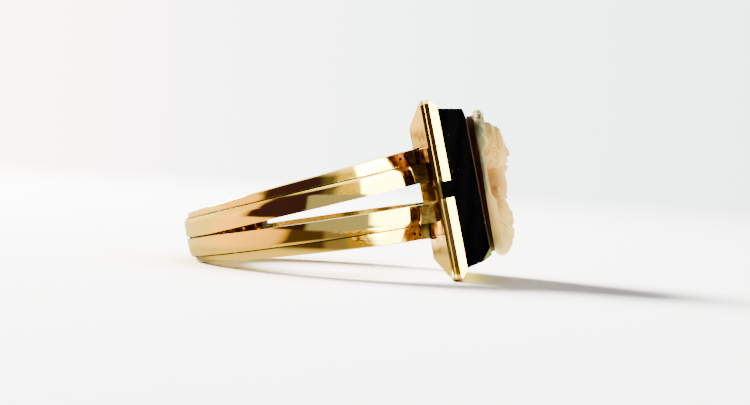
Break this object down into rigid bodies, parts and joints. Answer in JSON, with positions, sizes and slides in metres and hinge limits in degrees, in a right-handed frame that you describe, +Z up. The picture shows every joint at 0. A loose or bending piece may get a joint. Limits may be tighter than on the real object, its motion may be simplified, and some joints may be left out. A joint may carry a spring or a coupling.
{
  "type": "cameo ring",
  "caption": "Gold-coloured split-shank ring with a bevelled rectangular box setting that holds a black onyx plaque and a carved shell cameo of a veiled figure.",
  "frame": {"origin": "middle of the finger hole, on its axis", "axes": "+Z up from the surface the ring lies on; +X level, from the back of the shank towards the head; +Y across the head. The finger hole leans by 14 degrees from Z towards -X, as the ring lies on its shank and the rim of its head."},
  "size_m": [0.0253, 0.0196, 0.0132],
  "materials": {
    "gold": "polished yellow gold",
    "onyx": "polished black onyx",
    "brown_shell": "polished brown shell layer",
    "pale_shell": "satin carved shell"
  },
  "bodies": {
    "root": {"mounting": "gold", "onyx_plaque": "onyx", "cameo_ground": "brown_shell", "cameo_figure": "pale_shell"}
  },
  "joints": []
}
